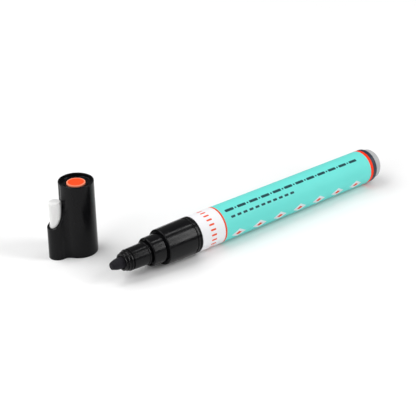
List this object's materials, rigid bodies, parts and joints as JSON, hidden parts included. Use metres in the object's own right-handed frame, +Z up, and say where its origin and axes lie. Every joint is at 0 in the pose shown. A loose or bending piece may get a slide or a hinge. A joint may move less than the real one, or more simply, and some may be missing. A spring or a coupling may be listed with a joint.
{
  "type": "enamel paint marker",
  "caption": "Valve-action enamel paint marker lying on a surface, its cap standing beside the nib with a spare nib in a side pocket.",
  "frame": {"origin": "middle of the footprint of marker and cap together, on the surface they rest on", "axes": "+X along the marker from its nib to its rear end, +Y from the marker towards the side where the cap stands, +Z up"},
  "size_m": [0.149, 0.0434, 0.0306],
  "materials": {
    "barrel_plastic": "milky polypropylene, darkened by the paint behind it, satin",
    "natural_plastic": "milky translucent polypropylene, satin",
    "label_film": "printed film, satin gloss",
    "black_plastic": "moulded polypropylene, satin gloss",
    "cap_plastic": "moulded polypropylene, satin gloss",
    "inked_fibre": "bonded fibre soaked with black enamel",
    "clean_fibre": "bonded fibre, unused",
    "seal_rubber": "matt",
    "valve_plastic": "natural moulded plastic",
    "spring_steel": "drawn stainless wire",
    "ball_steel": "polished",
    "liner_plastic": "soft polyethylene",
    "disc_plastic": "moulded plastic, satin"
  },
  "bodies": {
    "barrel": {"barrel": "barrel_plastic", "end_plug": "natural_plastic", "label_sleeve": "label_film", "front_collar": "black_plastic", "nozzle": "black_plastic", "valve_seat": "seal_rubber", "valve_cage": "valve_plastic", "valve_spring": "spring_steel"},
    "nib": {"nib": "inked_fibre"},
    "valve_stem": {"valve_stem": "valve_plastic"},
    "mixing_ball": {"mixing_ball": "ball_steel"},
    "cap": {"cap_shell": "cap_plastic", "cap_liner": "liner_plastic", "cap_disc": "disc_plastic"},
    "spare_nib": {"spare_nib": "clean_fibre"}
  },
  "joints": [
    {"name": "nib_press", "type": "slide", "parent": "barrel", "child": "nib", "axis": [1, 0, 0], "range_m": [0, 0.0025]},
    {"name": "valve_slide", "type": "slide", "parent": "barrel", "child": "valve_stem", "axis": [1, 0, 0], "range_m": [0, 0.0025], "stiffness_N_per_m": 600, "springref_m": -0.002, "deforming": ["valve_spring"]},
    {"name": "ball_roll", "type": "slide", "parent": "barrel", "child": "mixing_ball", "axis": [1, 0, 0], "range_m": [0, 0.068]},
    {"name": "cap_lift", "type": "slide", "parent": "barrel", "child": "cap", "axis": [0, 0, 1], "range_m": [0, 0.0225]},
    {"name": "spare_nib_lift", "type": "slide", "parent": "cap", "child": "spare_nib", "axis": [0, 0, 1], "range_m": [0, 0.0125]}
  ],
  "couplings": [
    {"joint": "valve_slide", "follows": "nib_press", "ratio": 1}
  ]
}
